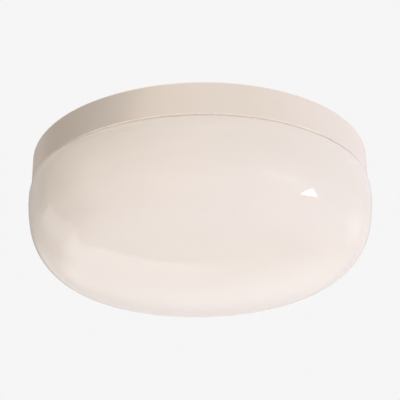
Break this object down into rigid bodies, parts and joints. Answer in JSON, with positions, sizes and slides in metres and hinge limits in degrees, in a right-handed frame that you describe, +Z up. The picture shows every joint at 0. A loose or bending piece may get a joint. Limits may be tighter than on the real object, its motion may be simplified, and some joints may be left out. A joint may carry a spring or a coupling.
{
  "type": "flush mount ceiling light",
  "caption": "Flush mount ceiling light: a glossy opal glass drum snapped onto a shallow round white steel pan, with lamps in holders inside.",
  "frame": {"origin": "centre of the pan's face that lies on the ceiling", "axes": "+Z up into the ceiling, along the light's axis of symmetry; X through the two fixing slots; the light hangs toward -Z"},
  "size_m": [0.33, 0.33, 0.1294],
  "materials": {
    "pan_paint": "satin white enamel",
    "opal_glass": "glossy opal white, opaque",
    "foam": "closed-cell foam",
    "spring_steel": "nickel-plated spring steel",
    "silicone": "translucent silicone",
    "rivet_steel": "zinc-plated",
    "zinc_plate": "zinc-plated sheet",
    "screw_steel": "zinc-plated",
    "holder_porcelain": "white glaze",
    "brass": "satin",
    "cap_metal": "nickel-plated",
    "black_glass": "black vitreous insulator",
    "solder": "soldered tip",
    "bulb_glass": "frosted white",
    "block_nylon": "moulded, natural",
    "grommet_rubber": "soft grey",
    "lead_brown": "insulation",
    "lead_blue": "insulation",
    "lead_green": "insulation"
  },
  "bodies": {
    "fitting": {"block_screw": "screw_steel", "bracket_rivet_1": "rivet_steel", "bracket_rivet_2": "rivet_steel", "bracket_rivet_3": "rivet_steel", "bracket_rivet_4": "rivet_steel", "cable_grommet": "grommet_rubber", "centre_contact_1": "brass", "centre_contact_2": "brass", "clip_rivet_1": "rivet_steel", "clip_rivet_2": "rivet_steel", "clip_rivet_3": "rivet_steel", "clip_rivet_4": "rivet_steel", "clip_rivet_5": "rivet_steel", "clip_rivet_6": "rivet_steel", "clip_sleeve_1": "silicone", "clip_sleeve_2": "silicone", "clip_sleeve_3": "silicone", "earth_lead": "lead_green", "earth_screw": "screw_steel", "earth_tag": "brass", "holder_bracket_1": "zinc_plate", "holder_bracket_2": "zinc_plate", "holder_screw_1": "screw_steel", "holder_screw_2": "screw_steel", "holder_screw_3": "screw_steel", "holder_screw_4": "screw_steel", "lampholder_1": "holder_porcelain", "lampholder_2": "holder_porcelain", "lead_clip_1": "zinc_plate", "lead_clip_2": "zinc_plate", "live_lead_1": "lead_brown", "live_lead_2": "lead_brown", "neutral_lead_1": "lead_blue", "neutral_lead_2": "lead_blue", "pan": "pan_paint", "rim_gasket": "foam", "screw_shell_1": "brass", "screw_shell_2": "brass", "spring_clip_1": "spring_steel", "spring_clip_2": "spring_steel", "spring_clip_3": "spring_steel", "terminal_block": "block_nylon", "terminal_insert_1": "brass", "terminal_insert_2": "brass", "terminal_insert_3": "brass", "terminal_screw_1": "screw_steel", "terminal_screw_2": "screw_steel", "terminal_screw_3": "screw_steel", "terminal_screw_4": "screw_steel", "terminal_screw_5": "screw_steel", "terminal_screw_6": "screw_steel"},
    "shade": {"opal_shade": "opal_glass"},
    "lamp_1": {"bulb_1": "bulb_glass", "lamp_cap_1": "cap_metal", "cap_insulator_1": "black_glass", "tip_contact_1": "solder"},
    "lamp_2": {"bulb_2": "bulb_glass", "lamp_cap_2": "cap_metal", "cap_insulator_2": "black_glass", "tip_contact_2": "solder"}
  },
  "joints": [
    {"name": "shade_drop", "type": "slide", "parent": "fitting", "child": "shade", "axis": [0, 0, -1], "range_m": [0, 0.15], "deforming": ["clip_sleeve_1", "clip_sleeve_2", "clip_sleeve_3", "spring_clip_1", "spring_clip_2", "spring_clip_3"]},
    {"name": "lamp_1_unscrew", "type": "slide", "parent": "fitting", "child": "lamp_1", "axis": [1, 0, 0], "range_m": [0, 0.027]},
    {"name": "lamp_2_unscrew", "type": "slide", "parent": "fitting", "child": "lamp_2", "axis": [-1, 0, 0], "range_m": [0, 0.027]}
  ]
}
